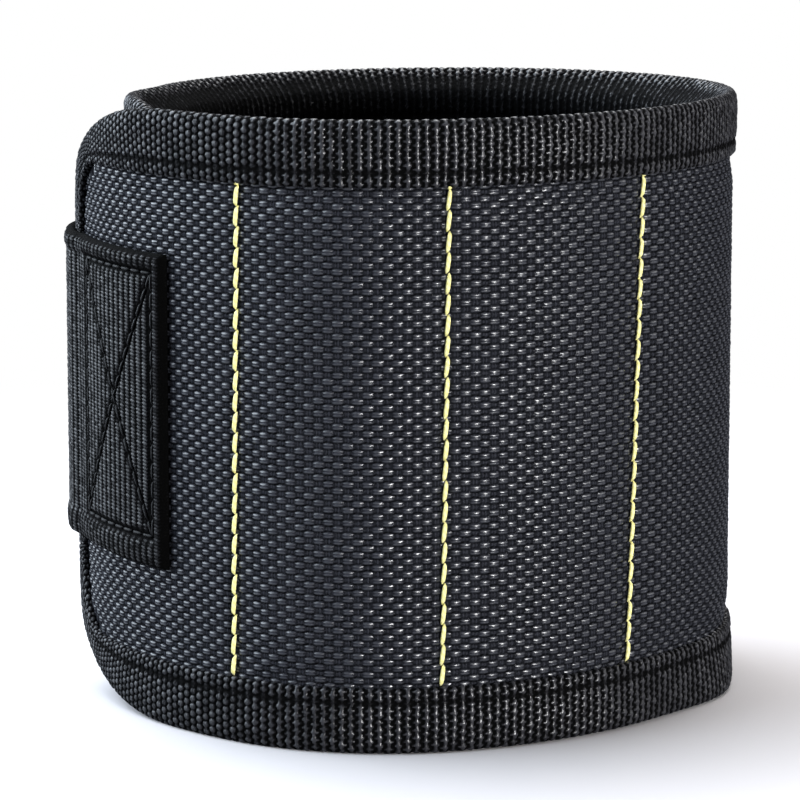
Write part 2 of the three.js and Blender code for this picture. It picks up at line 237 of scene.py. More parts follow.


# %% [markdown]
# ## Thread that makes the cloth
# Every cloth on the band is dark nylon, a little paler on the crowns of its threads, with fine filaments
# that break up the shine. Between the threads its colour falls to nearly black, which is painted shade in
# the hollows. One node group gives that to every cloth, from the height of the thread that each mesh
# carries and from the flat place of the point.

# %% Node group for threads
FULL_WAVE = 628.3185
GRAIN_SCALE, GRAIN_DEPTH, STRAND_DEPTH = 100.0, 1.4, 0.5
CROWN_GRAIN, CROWN_CROSS, CROWN_FROM, CROWN_TO = 0.25, 0.26, 0.28, 0.88
SHINE_GRAIN, SHINE_FROM, SHINE_TO = 0.55, 0.0, 0.5


def thread_group():
    """Colour mixes from hollow to crown by the thread's height; the near-black hollow colour is painted shade
    between the threads. Along each thread runs a noise that is stretched with it and a cosine across it
    for the strands; where threads lie crosswise the flat place is turned by a quarter."""
    group = bpy.data.node_groups.new("nylon_threads", "ShaderNodeTree")
    inputs = {"Hollow": "Color", "Crown": "Color", "Grain": "Vector",
              "Strands": "Float", "Dull": "Float", "Edge": "Float"}
    outputs = {"Color": "Color", "Roughness": "Float", "Shine": "Float", "Height": "Float"}
    for way, sockets in (("INPUT", inputs), ("OUTPUT", outputs)):
        for name, kind in sockets.items():
            group.interface.new_socket(name=name, in_out=way, socket_type=f"NodeSocket{kind}")
    add, join = group.nodes.new, group.links.new
    inlet, outlet = add("NodeGroupInput"), add("NodeGroupOutput")

    def maths(operation, a, b, clamp=False):
        step = add("ShaderNodeMath")
        step.operation, step.use_clamp = operation, clamp
        for end, value in zip(step.inputs, (a, b)):
            if isinstance(value, (int, float)):
                end.default_value = value
            else:
                join(value, end)
        return step.outputs["Value"]

    flat, height, cross = add("ShaderNodeUVMap"), add("ShaderNodeAttribute"), add("ShaderNodeAttribute")
    flat.uv_map = "cloth"
    height.attribute_name, cross.attribute_name = "crest", "cross"
    split, turned, place = add("ShaderNodeSeparateXYZ"), add("ShaderNodeCombineXYZ"), add("ShaderNodeMix")
    place.data_type = "VECTOR"
    join(flat.outputs["UV"], split.inputs["Vector"])
    join(split.outputs["X"], turned.inputs["Y"])
    join(split.outputs["Y"], turned.inputs["X"])
    join(cross.outputs["Fac"], place.inputs["Factor"])
    join(flat.outputs["UV"], place.inputs["A"])
    join(turned.outputs["Vector"], place.inputs["B"])
    stretch, noise = add("ShaderNodeVectorMath"), add("ShaderNodeTexNoise")
    across = add("ShaderNodeSeparateXYZ")
    stretch.operation = "MULTIPLY"
    noise.inputs["Scale"].default_value = GRAIN_SCALE
    noise.inputs["Detail"].default_value = 2.0
    join(place.outputs["Result"], stretch.inputs[0])
    join(inlet.outputs["Grain"], stretch.inputs[1])
    join(stretch.outputs["Vector"], noise.inputs["Vector"])
    join(place.outputs["Result"], across.inputs["Vector"])
    strand = maths("MULTIPLY", across.outputs["Y"], inlet.outputs["Strands"])
    wave = maths("COSINE", maths("MULTIPLY", strand, FULL_WAVE), 0)
    wave_depth = maths("MINIMUM", inlet.outputs["Strands"], STRAND_DEPTH)
    grain = maths("MULTIPLY", maths("SUBTRACT", noise.outputs["Fac"], 0.5), GRAIN_DEPTH)
    relief = maths("SUBTRACT", grain, maths("MULTIPLY", wave, wave_depth))

    def rise(share, low, high):
        step = add("ShaderNodeMapRange")
        step.interpolation_type = "SMOOTHSTEP"
        step.inputs["From Min"].default_value = low
        step.inputs["From Max"].default_value = high
        join(maths("ADD", height.outputs["Fac"], share), step.inputs["Value"])
        return step.outputs["Result"]

    dulled = maths("MULTIPLY", cross.outputs["Fac"], inlet.outputs["Dull"])
    lifted = maths("ADD", maths("MULTIPLY", relief, CROWN_GRAIN), maths("MULTIPLY", dulled, CROWN_CROSS))
    # Colour by crest: the low crests of the hollows take the hollow colour, painted shade between the
    # threads.
    crown = rise(lifted, CROWN_FROM, CROWN_TO)
    kept_low = maths("SUBTRACT", maths("MULTIPLY", relief, SHINE_GRAIN), inlet.outputs["Edge"])
    shine = maths("SUBTRACT", rise(kept_low, SHINE_FROM, SHINE_TO), dulled, True)
    tint, rough = add("ShaderNodeMix"), add("ShaderNodeMapRange")
    tint.data_type = "RGBA"
    join(crown, tint.inputs["Factor"])
    join(inlet.outputs["Hollow"], tint.inputs["A"])
    join(inlet.outputs["Crown"], tint.inputs["B"])
    rough.inputs["To Min"].default_value = 0.85
    rough.inputs["To Max"].default_value = 0.6
    join(crown, rough.inputs["Value"])
    join(tint.outputs["Result"], outlet.inputs["Color"])
    join(rough.outputs["Result"], outlet.inputs["Roughness"])
    join(shine, outlet.inputs["Shine"])
    join(relief, outlet.inputs["Height"])
    return group


THREADS = thread_group()


def nylon(name, hollow, crown, grain, strands=0.0, relief=0.3, shine=1.0, dull=0.0, polish=0.35, edge=0.4):
    """A material with the thread group set to one cloth's colours and strands. The shine of the threads is a
    coat, so that hollows stay dull."""
    material = bpy.data.materials.new(name)
    material.use_nodes = True
    nodes, links = material.node_tree.nodes, material.node_tree.links
    shader = nodes["Principled BSDF"]
    shader.inputs["Specular IOR Level"].default_value = 0.04
    shader.inputs["Coat Roughness"].default_value = polish
    shader.inputs["Coat IOR"].default_value = 1 + 0.5 * shine
    threads, bump = nodes.new("ShaderNodeGroup"), nodes.new("ShaderNodeBump")
    threads.node_tree = THREADS
    threads.inputs["Hollow"].default_value = (*hollow, 1)
    threads.inputs["Crown"].default_value = (*crown, 1)
    threads.inputs["Grain"].default_value = grain
    threads.inputs["Strands"].default_value = strands
    threads.inputs["Dull"].default_value = dull
    threads.inputs["Edge"].default_value = edge
    bump.inputs["Strength"].default_value = relief
    bump.inputs["Distance"].default_value = 0.00012
    links.new(threads.outputs["Color"], shader.inputs["Base Color"])
    links.new(threads.outputs["Roughness"], shader.inputs["Roughness"])
    links.new(threads.outputs["Shine"], shader.inputs["Coat Weight"])
    links.new(threads.outputs["Height"], bump.inputs["Height"])
    links.new(bump.outputs["Normal"], shader.inputs["Normal"])
    return material


print("thread group:", THREADS.name)

# %% [markdown]
# ## The face
# The face is heavy plain-woven cloth. Its flat crosswise threads show as short raised floats, set like the
# black squares of a chess board, with the lengthwise threads sunk between them. A bump map could fake that,
# but in the photograph each float catches light and shades the next, so the floats are real relief.

# %% Plain weave
FLOAT_LONG, FLOAT_TALL = 1.39, 0.91
FLOAT_STEPS_LONG, FLOAT_STEPS_TALL = 4, 5
THREAD_WAVE, THREAD_FILL = 0.17, 0.97
WEFT_ROUND, WARP_ROUND, WARP_SUNK, WEFT_UNEVEN = 0.25, 0.14, 0.12, 0.07
CREST_BELOW, CREST_SPAN = 0.05, 0.48


def plain_weave(s, z):
    """Height in mm, its share of the crown, and which thread is on top: each thread is rounded across, the
    floats with flat tops, and its middle rises and falls as a cosine, opposite to the threads it crosses."""
    along, up = s / FLOAT_LONG, z / FLOAT_TALL
    i, j = np.floor(along), np.floor(up)
    across_row, across_column = 2 * (up - j - 0.5), 2 * (along - i - 0.5)
    wave = np.cos(np.pi * (along - 0.5 + j))
    round_row = np.sqrt(np.clip(1 - (THREAD_FILL * across_row) ** 4, 0, 1))
    round_column = np.sqrt(np.clip(1 - (THREAD_FILL * across_column) ** 2, 0, 1))
    weft = THREAD_WAVE * wave * (1.5 - 0.5 * wave**2) + WEFT_ROUND * round_row
    warp = -THREAD_WAVE * np.cos(np.pi * (up - 0.5 + i)) + WARP_ROUND * round_column - WARP_SUNK
    weft = weft + WEFT_UNEVEN * (chance(np.floor((along + j % 2) / 2), j) - 0.5)
    height = np.maximum(weft, warp)
    return height, np.clip((height + CREST_BELOW) / CREST_SPAN, 0, 1), (warp > weft).astype(float)


print("floats of", FLOAT_LONG, "by", FLOAT_TALL, "mm")

# %% Swell of the pockets and pull of the seams
FACE_THICKNESS, LINING_THICKNESS, LAYER_GAP = 1.1, 1.8, 0.2
FACE_CROWN, POCKET_DEPTH, SEAM_FLAT, SEAM_RAMP = 0.5, 2.4, 1.5, 5.0
SEAM_DEPTH, SEAM_HALF = 0.5, 0.8
BINDING_WIDTH, HEM_INSET, LINING_INSET = 9.5, 2.4, 5.2
ROW_HINGES = [0, 1, 2, 4, 5]
ROW_AT = starts[1:7][ROW_HINGES] + [-0.75, -0.75, 0.25, -0.75, -0.75]
ROW_LEAN = np.array([1.0, 0.9, 2.6, 0.3, 0.3])
ROW_TALL = BAND_HEIGHT - 2 * BINDING_WIDTH
END_SHARE = 0.3


def swell(s, z):
    """Share of a pocket's swell: a smooth step in from each seam, times one in from each hem."""
    from_seam = np.min(np.abs(s[..., None] - ROW_AT), -1) - SEAM_FLAT
    from_hem = np.minimum(z, BAND_HEIGHT - z) - BINDING_WIDTH
    inside = (s > starts[1]) & (s < starts[6])
    return inside * smooth(from_seam / SEAM_RAMP) * smooth(from_hem / SEAM_RAMP)


def seam_pull(s, z):
    """Depth in mm of the furrow that each leaning row of thread pulls into the face, a bell curve about
    the row."""
    row = ROW_AT + ROW_LEAN * (z[..., None] - MIDDLE) / ROW_TALL
    return SEAM_DEPTH * np.exp(-np.min(((s[..., None] - row) / SEAM_HALF) ** 2, -1))


def half_height(s):
    """Half height of the cloth inside the hem: the full half, or an oval's where an end's corner is
    rounded."""
    long, tall = (np.where(s < STRIP / 2, OUTER_CORNER[c], INNER_CORNER[c]) for c in (0, 1))
    share = np.clip((long - np.minimum(s, STRIP - s)) / (long - HEM_INSET), 0, 1)
    return MIDDLE - tall + (tall - HEM_INSET) * np.sqrt(1 - share**2)


def strip_points(first, last, step):
    """Places along the strip from first to last, on the whole steps between them that aren't too near
    an end."""
    inner = np.arange(np.ceil(first / step + END_SHARE), np.floor(last / step - END_SHARE) + 1) * step
    return np.concatenate([[first], inner, [last]])


middles = np.round((starts[:-1] + starts[1:]) / 2 / FLOAT_LONG) * FLOAT_LONG
piece_ends = np.concatenate([[HEM_INSET], middles[1:-1], [STRIP - HEM_INSET]])
lining_ends = np.concatenate([[LINING_INSET], middles[1:-1], [STRIP - LINING_INSET]])
print("face pieces end in mm at:", np.round(piece_ends, 1).tolist())

# %% Rings of a cloth layer
def cloth_rings(first, last, step, rows, back_rows, outside, inside):
    """Rings of a cloth layer: up the outside on one list of rows and down the back on the other, both scaled
    to the height that the strip has at each place."""
    s = beyond(strip_points(first, last, step))[:, None]
    scale = half_height(s) / (MIDDLE - HEM_INSET)
    z_out = MIDDLE + (rows[None, :] - MIDDLE) * scale
    z_in = MIDDLE + (back_rows[None, :] - MIDDLE) * scale
    s_out, s_in = np.broadcast_to(s, z_out.shape), np.broadcast_to(s, z_in.shape)
    height, *fields = outside(s_out, z_out)
    points = np.concatenate([band(s_out, height, z_out), band(s_in, inside(s_in, z_in), z_in)], 1)
    flat = np.concatenate([np.stack([s_out, z_out], -1), np.stack([s_in, z_in], -1)], 1)
    fields = [np.concatenate([f, np.zeros(s_in.shape)], 1) for f in fields]
    return draw_back(points), draw_back(flat), [draw_back(f) for f in fields]


# %% Face pieces, one for each hinge
# The face's hollow colour is painted shade in the weave; its crown colour is the cloth's own.
FACE_CLOTH = nylon(
    "face_cloth", (0.0004, 0.0004, 0.0005), (0.0245, 0.026, 0.0335), (1.2, 4.5, 1), strands=2 / FLOAT_TALL,
    relief=0.7, shine=1.55, dull=0.85, polish=0.36, edge=0.66)
WEAVE_FROM, WEAVE_TO, WEAVE_SUNK = 7.2, 82.9, 0.2


def face_outside(s, z):
    """The swell of the pocket, less the pull of the seams, plus the weave."""
    height, crest, cross = plain_weave(s, z)
    return FACE_CROWN * swell(s, z) - seam_pull(s, z) + height - WEAVE_SUNK, crest, cross


def face_inside(s, z):
    """The swell of the pocket, less the cloth's thickness."""
    return FACE_CROWN * swell(s, z) - FACE_THICKNESS


weave_rows = np.arange(WEAVE_FROM, WEAVE_TO, FLOAT_TALL / FLOAT_STEPS_TALL)
face_rows = np.concatenate([[HEM_INSET, 5.5], weave_rows, [84.5, BAND_HEIGHT - HEM_INSET]])
plain_rows = np.array([BAND_HEIGHT - HEM_INSET, 80, 74, MIDDLE, 16, 10, HEM_INSET])
face_pieces = []
for k in range(len(hinges)):
    points, flat, (crest, cross) = cloth_rings(
        piece_ends[k], piece_ends[k + 1], FLOAT_LONG / FLOAT_STEPS_LONG,
        face_rows, plain_rows, face_outside, face_inside)
    piece = shell(f"face_cloth_{k + 1}", points, FACE_CLOTH, flat, crest=crest, cross=cross)
    bend_at(piece)
    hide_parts(*nodes_at("face", k, LAST))
    face_pieces.append(piece)
print("face pieces:", len(face_pieces), "quads:", sum(len(p.data.polygons) for p in face_pieces))

# %% [markdown]
# ## The lining
# Behind the face lies a soft knitted mesh, padded so that the magnets don't press on the wrist. It is seen
# only through the top of the ring, so its knit is coarser relief on the side towards the wrist.

# %% Lining pieces
# The lining's darker hollow colour is painted shade in the knit.
LINING_CLOTH = nylon("mesh_lining", (0.006, 0.006, 0.006), (0.03, 0.03, 0.032), (5, 5, 1), dull=1.0)
KNIT, KNIT_LEAN, KNIT_DEPTH, KNIT_SUNK, KNIT_STEP = 2.4, 0.6, 0.35, 0.3, 0.6


def knit(s, z):
    """Height of the knit in mm: the product of two cosines on a lozenge grid makes a dimple in each mesh."""
    a, b = np.pi * (s + KNIT_LEAN * z) / KNIT, np.pi * (s - KNIT_LEAN * z) / KNIT
    return KNIT_DEPTH * np.abs(np.cos(a) * np.cos(b))


def lining_outside(s, z):
    """Behind the face by the gap and the depth of the pocket, with no relief."""
    plain = np.zeros(s.shape)
    return -FACE_THICKNESS - LAYER_GAP - POCKET_DEPTH * swell(s, z), plain, plain


def lining_inside(s, z):
    """Further in by the lining's thickness, with the knit standing towards the wrist."""
    deep = -FACE_THICKNESS - LAYER_GAP - LINING_THICKNESS - POCKET_DEPTH * swell(s, z)
    return deep - knit(s, z) + KNIT_SUNK


knit_rows = np.concatenate([[BAND_HEIGHT - LINING_INSET], np.arange(82, 8, -KNIT_STEP), [LINING_INSET]])
lining_rows = np.array([LINING_INSET, 10, 16, 30, 60, 74, 80, BAND_HEIGHT - LINING_INSET])
for k in range(len(hinges)):
    points, flat, (crest, cross) = cloth_rings(
        lining_ends[k], lining_ends[k + 1], KNIT_STEP, lining_rows, knit_rows, lining_outside, lining_inside)
    knitted = flat[:, len(lining_rows):]
    # The knit's dimples get the low crest, and so the painted shade of the hollow colour.
    crest[:, len(lining_rows):] = np.clip(knit(knitted[..., 0], knitted[..., 1]) / KNIT_DEPTH, 0, 1)
    piece = shell(f"lining_{k + 1}", points, LINING_CLOTH, flat, crest=crest, cross=cross)
    bend_at(piece)
    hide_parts(*nodes_at("lining", k, LAST))
print("lining pieces:", len(hinges))

# %% [markdown]
# ## The binding
# The binding is one ribbed tape, folded in half over the edge of the strip and sewn down in a furrow near its
# lips. It could be an array of beads, but a tape is a profile carried along a path: the profile is the
# folded tape, and the beads are relief that runs across and along it.

# %% Folded profile
TAPE_PROFILE = np.array([
    [9.5, 0.1], [9.5, 0.7], [9.2, 0.95], [8.4, 1.02], [7.8, 1.02], [7.4, 0.86], [7.0, 1.04], [6.2, 1.12],
    [4, 1.16], [1.6, 1.12], [0.6, 0.95], [0.1, 0.5], [0, 0.1], [0.3, -0.5], [1, -1.3], [2, -2.3],
    [3.2, -3.5], [4.4, -4.1], [6.2, -4.3], [6.9, -4.1], [7.4, -3.9], [7.9, -4.1], [8.6, -4.2], [9.2, -4.16],
    [9.48, -3.9], [9.5, -3.4]])
TAPE_BACK = np.array([[5, -3.25], [3.4, -2.5], [1.3, -0.2], [1.6, 0.1], [5, 0.15]])
BEAD_LONG, BEAD_TALL, BEAD_STEPS = 1.3, 1.12, 6
TAPE_STEP, FINE_STEP, EASED_OVER = 0.2, 0.05, 6
FURROW_AT, COARSE_FROM, INSIDE_FROM, INSIDE_FADE = 7.4, 13.5, 11.5, 2.5


def even_line(points, step):
    """The same line at even steps: it is walked by its own length, then its corners are eased by
    averaging."""
    walked = np.concatenate([[0], np.cumsum(np.hypot(*np.diff(points, axis=0).T))])
    fine = np.linspace(0, walked[-1], int(walked[-1] / FINE_STEP) + 1)
    line = np.stack([np.interp(fine, walked, points[:, c]) for c in (0, 1)], -1)
    padded = np.concatenate([np.repeat(line[:1], EASED_OVER, 0), line, np.repeat(line[-1:], EASED_OVER, 0)])
    count = 2 * EASED_OVER + 1
    eased = sum(padded[o:o + len(line)] for o in range(count)) / count
    picks = np.linspace(0, len(line) - 1, int(walked[-1] / step) + 1).round().astype(int)
    return eased[picks], fine[picks]


def outward(points):
    """Unit normals of a line in plan, to the right of its own direction."""
    run = np.gradient(points, axis=0)
    return np.stack([run[:, 1], -run[:, 0]], -1) / np.hypot(*run.T)[:, None]


tape_line, tape_walk = even_line(TAPE_PROFILE, TAPE_STEP)
tape_normal = outward(tape_line)
kept = (tape_walk < COARSE_FROM) | (np.arange(len(tape_walk)) % 2 == 0)
tape_line, tape_walk, tape_normal = tape_line[kept], tape_walk[kept], tape_normal[kept]
from_furrow = np.abs(tape_line[:, 0] - FURROW_AT)
from_rim = tape_walk - tape_walk[np.argmin(tape_line[:, 0])]
# The tape's inner side and the furrow get a lower bead share: lower relief there, and a darker colour that is
# painted shade inside the ring and in the furrow.
inner_side = smooth((tape_walk - INSIDE_FROM) / INSIDE_FADE)
bead_and_shade_share = (0.6 + 0.4 * smooth((from_furrow - 0.1) / 0.6)) * (1 - 0.6 * inner_side)
rim_share = 1 - 0.5 * np.exp(-(from_rim / 0.9) ** 2)
print("tape profile:", len(tape_line), "points,", round(tape_walk[-1], 1), "mm round")

# %% Cords of the tape
def columns(s, t, long, tall, shift, lean=0.0):
    """Cells in columns along s, every other column higher by the shift: place in the cell from -1 to 1 both
    ways, and a fixed chance for each cell."""
    i = np.floor(s / long)
    u = 2 * (s / long - i - 0.5)
    v = t / tall + shift * (i % 2) + lean * u
    j = np.floor(v)
    return u, 2 * (v - j - 0.5), chance(i, j)


def cords(s, t, long, tall):
    """Share of the tape's full height: upright cords with a half oval across, crossed by short bars that are
    half ovals too, set half a step higher on every other cord."""
    u, v, luck = columns(s, t, long, tall, 0.5)
    cord = np.sqrt(np.clip(1 - ((u - 0.3 * (luck - 0.5)) / 0.55) ** 2, 0, 1)) * (0.98 - 0.22 * v**2)
    bar = np.sqrt(np.clip(1 - (v / 0.42) ** 2, 0, 1)) * (0.94 - 0.34 * u**2)
    return np.maximum(cord, bar) * (0.72 + 0.28 * luck)


def domes(s, t, long, tall):
    """Share of the tape's full height where it turns a corner and its cords crowd into round beads: the root
    of 1 - r^4."""
    u, v, luck = columns(s, t, long, tall, 0.5)
    return np.sqrt(np.clip(1 - (0.94 * u**2 + 0.94 * v**2) ** 2, 0, 1)) * (0.75 + 0.25 * luck)


# %% Tape along an edge
CORD_RISE, BEAD_RISE = 0.42, 0.9
CROWD_FROM, CROWD_FADE, CROWD_DULL, INSIDE_CREST = 3, 20, 0.17, 0.22
BACK_WALK = 27, 30


def binding_piece(name, s, z, into_s, into_z, walked, width=BINDING_WIDTH, crowd=0.0):
    """The folded profile at each place of the edge's path, laid in the direction that leads into the strip
    and drawn in to the tape's width there. The cords turn to beads by the share that they crowd, which fades
    to the path's ends."""
    from_ends = np.minimum(walked - walked[0], walked[-1] - walked)
    crowd = crowd * smooth((from_ends - CROWD_FROM) / CROWD_FADE)[:, None]
    cell = walked[:, None], tape_walk[None, :], BEAD_LONG, BEAD_TALL
    share = cords(*cell) * (1 - crowd) + BEAD_RISE * domes(*cell) * crowd
    lift = CORD_RISE * (share - 0.5) * bead_and_shade_share * rim_share
    narrow = np.broadcast_to(width / BINDING_WIDTH, s.shape)[:, None]
    m = tape_line[:, 0] * narrow + lift * tape_normal[:, 0]
    n = tape_line[:, 1] + lift * tape_normal[:, 1]
    back = np.broadcast_to(TAPE_BACK, (len(s), *TAPE_BACK.shape))
    m, n = np.concatenate([m, back[..., 0] * narrow], 1), np.concatenate([n, back[..., 1]], 1)
    points = band(s[:, None] + m * into_s[:, None], n, z[:, None] + m * into_z[:, None])
    around = np.concatenate([tape_walk, np.linspace(*BACK_WALK, len(TAPE_BACK))])
    flat = np.stack(np.broadcast_arrays(walked[:, None], around[None, :]), -1)
    # Painted shade: the crest, and so the colour, is lowered on the tape's inner side and in the furrow;
    # INSIDE_CREST gives a little of it back on the inner side.
    crest = share * (bead_and_shade_share + INSIDE_CREST * inner_side) * (1 - CROWD_DULL * crowd)
    crest = np.concatenate([crest, np.zeros((len(s), len(TAPE_BACK)))], 1)
    points, flat, crest = (draw_back(np.array(v)) for v in (points, flat, crest))
    return shell(name, points, BINDING_TAPE, flat, crest=crest, cross=np.ones(crest.shape))


# %% Path round an end
LIP_FROM_TIP, LIP_CORNER = 8.0, 12.0
INNER_END_STEPS = 4


def lip_width(s, z, into_s, into_z):
    """Width of the tape at each place: how far inwards the line first crosses the lip, which is a rectangle
    with rounded corners, drawn in less at the tip than along the sides."""
    far = np.arange(1.5, 14, 0.02)
    at_s = s[:, None] + far * into_s[:, None] - LIP_FROM_TIP
    at_z = z[:, None] + far * into_z[:, None]
    at_z = np.minimum(at_z, BAND_HEIGHT - at_z) - BINDING_WIDTH
    short = np.hypot(np.clip(LIP_CORNER - at_s, 0, None), np.clip(LIP_CORNER - at_z, 0, None))
    return far[np.argmax((short < LIP_CORNER) & (at_s > 0) & (at_z > 0), axis=1)]


def end_path(reach, long, tall, steps=BEAD_STEPS):
    """Path round an end, from reach along the bottom, round two quarter ovals and back along the top: place
    along the strip from the tip, height, the direction inwards (the oval's own normal), the length walked and
    the tape's width."""
    turn = np.linspace(0, np.pi / 2, 400)
    s = np.concatenate([[reach], long * (1 - np.sin(turn)), [0.0]])
    z = np.concatenate([[0.0], tall * (1 - np.cos(turn)), [MIDDLE]])
    into = np.stack([np.sin(turn) / long, np.cos(turn) / tall], -1)
    into = np.concatenate([[[0.0, 1.0]], into / np.hypot(*into.T)[:, None], [[1.0, 0.0]]])
    walked = np.concatenate([[0], np.cumsum(np.hypot(np.diff(s), np.diff(z)))])
    pairs = round((2 * walked[-1] / BEAD_LONG - 1) / 2)
    even = np.linspace(0, walked[-1], steps // 2 * (2 * pairs + 1) + 1)
    s, z, into_s, into_z = (np.interp(even, walked, v) for v in (s, z, into[:, 0], into[:, 1]))
    s, into_s = np.concatenate([s, s[-2::-1]]), np.concatenate([into_s, into_s[-2::-1]])
    z, into_z = np.concatenate([z, BAND_HEIGHT - z[-2::-1]]), np.concatenate([into_z, -into_z[-2::-1]])
    walked = BEAD_LONG * (1 + np.arange(len(s)) / steps)
    s, z, into_s, into_z, walked = (beyond(v) for v in (s, z, into_s, into_z, walked))
    return s, z, into_s, into_z, walked, lip_width(s, z, into_s, into_z)


# %% Binding pieces
# The tape's hollow colour is painted shade between its cords and bars.
BINDING_TAPE = nylon(
    "binding_tape", (0.001, 0.001, 0.0011), (0.026, 0.026, 0.0305), (2.5, 4, 1), relief=1.0, polish=0.32)
tape_ends = np.round(middles / BEAD_LONG / 2) * BEAD_LONG * 2
for k in range(1, LAST):
    s = beyond(strip_points(tape_ends[k], tape_ends[k + 1], BEAD_LONG / BEAD_STEPS))
    ones, zeros = np.ones(len(s)), np.zeros(len(s))
    top = binding_piece(f"binding_top_{k + 1}", s, BAND_HEIGHT * ones, zeros, -ones, s)
    low = binding_piece(f"binding_bottom_{k + 1}", s[::-1], zeros, zeros, ones, s[::-1])
    for piece, edge in ((top, "top"), (low, "bottom")):
        bend_at(piece)
        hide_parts(*nodes_at(f"binding_{edge}", k, LAST - 1))
s, z, into_s, into_z, walked, width = end_path(tape_ends[1], *OUTER_CORNER)
outer = binding_piece("binding_outer_end_tape", s, z, into_s, into_z, walked, width, crowd=1.0)
bend_at(outer)
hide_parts("binding_outer_end")
s, z, into_s, into_z, walked, width = end_path(STRIP - tape_ends[LAST], *INNER_CORNER, INNER_END_STEPS)
s, z, into_s, into_z, width = STRIP - s[::-1], z[::-1], -into_s[::-1], into_z[::-1], width[::-1]
inner = binding_piece("binding_inner_end_tape", s, z, into_s, into_z, walked, width)
bend_at(inner)
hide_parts("binding_inner_end")

# %% [markdown]
# ## Yellow rows
# Each row is a line of lock stitches in thick yellow thread. A stitch comes up through one hole, lies over
# the cloth and goes down through the next, so it is a short thread, full in its middle and buried at both
# ends.

# %% Yellow thread
def thread_material():
    """Two yellows mixed by a slanted wave, for the plies of the thread."""
    material = bpy.data.materials.new("yellow_thread")
    material.use_nodes = True
    nodes, links = material.node_tree.nodes, material.node_tree.links
    shader = nodes["Principled BSDF"]
    shader.inputs["Roughness"].default_value = 0.55
    flat, ply, tone = (nodes.new("ShaderNode" + n) for n in ("UVMap", "TexWave", "Mix"))
    flat.uv_map = "cloth"
    ply.bands_direction = "DIAGONAL"
    ply.inputs["Scale"].default_value = 60.0
    ply.inputs["Distortion"].default_value = 1.0
    tone.data_type = "RGBA"
    tone.inputs["A"].default_value = (0.77, 0.71, 0.26, 1)
    tone.inputs["B"].default_value = (0.87, 0.82, 0.4, 1)
    links.new(flat.outputs["UV"], ply.inputs["Vector"])
    links.new(ply.outputs["Fac"], tone.inputs["Factor"])
    links.new(tone.outputs["Result"], shader.inputs["Base Color"])
    return material


YELLOW_THREAD = thread_material()
print("thread:", YELLOW_THREAD.name)

# %% Stitches
STITCH, STITCHES, ROW_FOOT = 2.94, 24, 9.6
THREAD_HALF, THREAD_DEEP = 0.34, 0.3
STITCH_ARCH, STITCH_SUNK, STITCH_SLANT = 0.34, 0.2, 0.17


def stitch_points(lean):
    """Centre line and size of every stitch: along t from -1 to 1 it arches as 1 - t^5 and narrows to its
    ends. The topmost is only a dot, where the row was locked."""
    t = np.linspace(-1, 1, 8)
    number = np.arange(STITCHES + 1)[:, None]
    full = number < STITCHES
    middle = np.where(full, number + 0.5, STITCHES + 0.1)
    z = ROW_FOOT + (middle + np.where(full, 0.52, 0.11) * t) * STITCH
    rise = STITCH_ARCH * (1 - np.abs(t) ** 5) - STITCH_SUNK + 0.05 * (chance(number, 3) - 0.5)
    slant = STITCH_SLANT * t * full + 0.08 * (chance(number, 7) - 0.5) + lean * (z - MIDDLE) / ROW_TALL
    size = (1 - np.abs(t) ** 3) ** 0.5 * 0.7 + 0.3
    return z, np.broadcast_to(rise, z.shape), slant, np.broadcast_to(size, z.shape)


def stitch_row(name, place, lean):
    """Every stitch of a row as an oval carried along its centre line."""
    z, rise, slant, size = (v[..., None] for v in stitch_points(lean))
    ring = np.linspace(0, 2 * np.pi, 8, endpoint=False)
    s = place + slant + THREAD_HALF * size * np.cos(ring)
    n = rise + THREAD_DEEP * size * np.sin(ring)
    z = np.broadcast_to(z, s.shape)
    points, flat = band(s, n, z), np.stack([s, z], -1)
    return joined([shell(f"{name}_part", p, YELLOW_THREAD, f) for p, f in zip(points, flat)], name)


for number, (k, place, lean) in enumerate(zip(ROW_HINGES, ROW_AT, ROW_LEAN), 1):
    row = stitch_row(f"yellow_row_{number}", place, lean)
    bend_at(row)
    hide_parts(f"stitch_row_{number}")
print("yellow rows:", len(ROW_HINGES))

# %% [markdown]
# ## The closing strap
# The strap is flat ribbed webbing. One end is sewn to the outer end of the band, and the rest passes round
# the left side to the loop tape on the back. In plan it is one smooth line, so its cross section is carried
# along that line, with the ribs as relief on the side that shows.

# %% Line of the strap
STRAP_WIDTH, STRAP_MIDDLE, STRAP_THICKNESS = 46.0, 46.2, 1.2
STRAP_SEWN, STRAP_LANDS, STRAP_TIP = 42.0, 16.0, 26.0
LOOP_THICKNESS, HOOK_THICKNESS, FASTEN_GAP, BINDING_PROUD = 1.2, 1.1, 0.25, 1.45
STRAP_STEP, LINE_STEP, STRAP_BEND = 0.32, 0.1, 5
STEP_DOWN_AT, STEP_DOWN_LONG = 9.0, 4.5
HOOK_FROM = LAYER_GAP + LOOP_THICKNESS + FASTEN_GAP
STRAP_FROM = HOOK_FROM + HOOK_THICKNESS + LAYER_GAP
FACE_CLEAR = LAYER_GAP + 0.3


def plan(s, n):
    """Place in plan, in mm, at s along the strip and n out from its face."""
    return band(s, n, MIDDLE)[..., :2] / MM


